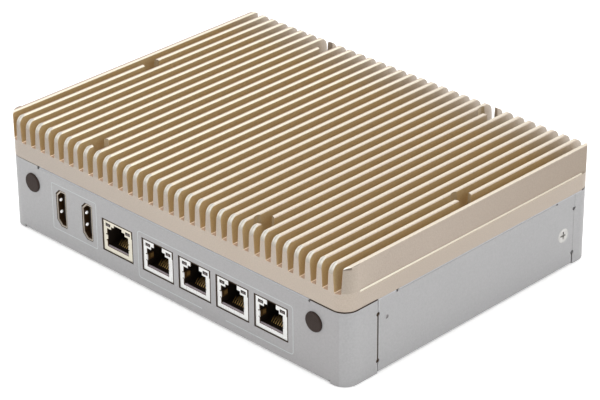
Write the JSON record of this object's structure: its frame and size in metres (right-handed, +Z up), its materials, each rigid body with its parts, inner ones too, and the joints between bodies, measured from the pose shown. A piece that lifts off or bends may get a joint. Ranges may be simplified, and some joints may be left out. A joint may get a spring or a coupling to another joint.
{
  "type": "fanless industrial pc",
  "caption": "Flat box computer with a finned heat-sink lid on a folded sheet chassis, network jacks and upright video sockets along one side.",
  "frame": {"origin": "centre of the footprint, on the chassis' underside", "axes": "+Z up, -Y out of the wall with the network jacks, +X to that wall's right"},
  "size_m": [0.176, 0.1327, 0.0468],
  "materials": {
    "lid_metal": "champagne anodised, satin, blasted",
    "chassis_sheet": "silver grey powder coat, fine texture",
    "board_laminate": "solder mask",
    "chip_metal": "nickel plated",
    "pad_rubber": "soft pad",
    "bare_aluminium": "milled",
    "screw_steel": "zinc plated",
    "black_plastic": "moulded",
    "plug_rubber": "moulded",
    "shield_cream": "nickel plated sheet, satin",
    "shield_bright": "tin plated sheet",
    "contact_gold": "gold plated spring wire",
    "light_window": "unlit light pipe"
  },
  "bodies": {
    "root": {"heatsink_lid": "lid_metal", "chassis_tray": "chassis_sheet", "rear_panel": "chassis_sheet", "main_board": "board_laminate", "processor": "chip_metal", "thermal_pad": "pad_rubber", "heat_block": "bare_aluminium", "block_screws": "screw_steel", "memory_socket": "black_plastic", "memory_module": "board_laminate", "storage_socket": "black_plastic", "storage_module": "board_laminate", "storage_post": "screw_steel", "storage_screw": "screw_steel", "cell_holder": "black_plastic", "coin_cell": "chip_metal", "power_inlet": "black_plastic", "power_pin": "screw_steel", "lid_screw_1": "screw_steel", "lid_screw_2": "screw_steel", "lid_screw_3": "screw_steel", "lid_screw_4": "screw_steel", "lid_screw_5": "screw_steel", "lid_screw_6": "screw_steel", "board_screw_1": "screw_steel", "board_screw_2": "screw_steel", "board_screw_3": "screw_steel", "board_screw_4": "screw_steel", "side_screw_left": "screw_steel", "hole_plug_left": "plug_rubber", "side_screw_right": "screw_steel", "hole_plug_right": "plug_rubber", "jack_shield_0": "shield_cream", "jack_insert_0": "black_plastic", "jack_wires_0": "contact_gold", "jack_lights_0": "light_window", "jack_shield_1": "shield_bright", "jack_insert_1": "black_plastic", "jack_wires_1": "contact_gold", "jack_lights_1": "light_window", "jack_shield_2": "shield_bright", "jack_insert_2": "black_plastic", "jack_wires_2": "contact_gold", "jack_lights_2": "light_window", "jack_shield_3": "shield_bright", "jack_insert_3": "black_plastic", "jack_wires_3": "contact_gold", "jack_lights_3": "light_window", "jack_shield_4": "shield_bright", "jack_insert_4": "black_plastic", "jack_wires_4": "contact_gold", "jack_lights_4": "light_window", "video_shell_1": "shield_bright", "video_tongue_1": "black_plastic", "usb_shell_1": "shield_bright", "usb_insert_1": "black_plastic", "video_shell_2": "shield_bright", "video_tongue_2": "black_plastic", "usb_shell_2": "shield_bright", "usb_insert_2": "black_plastic"}
  },
  "joints": []
}
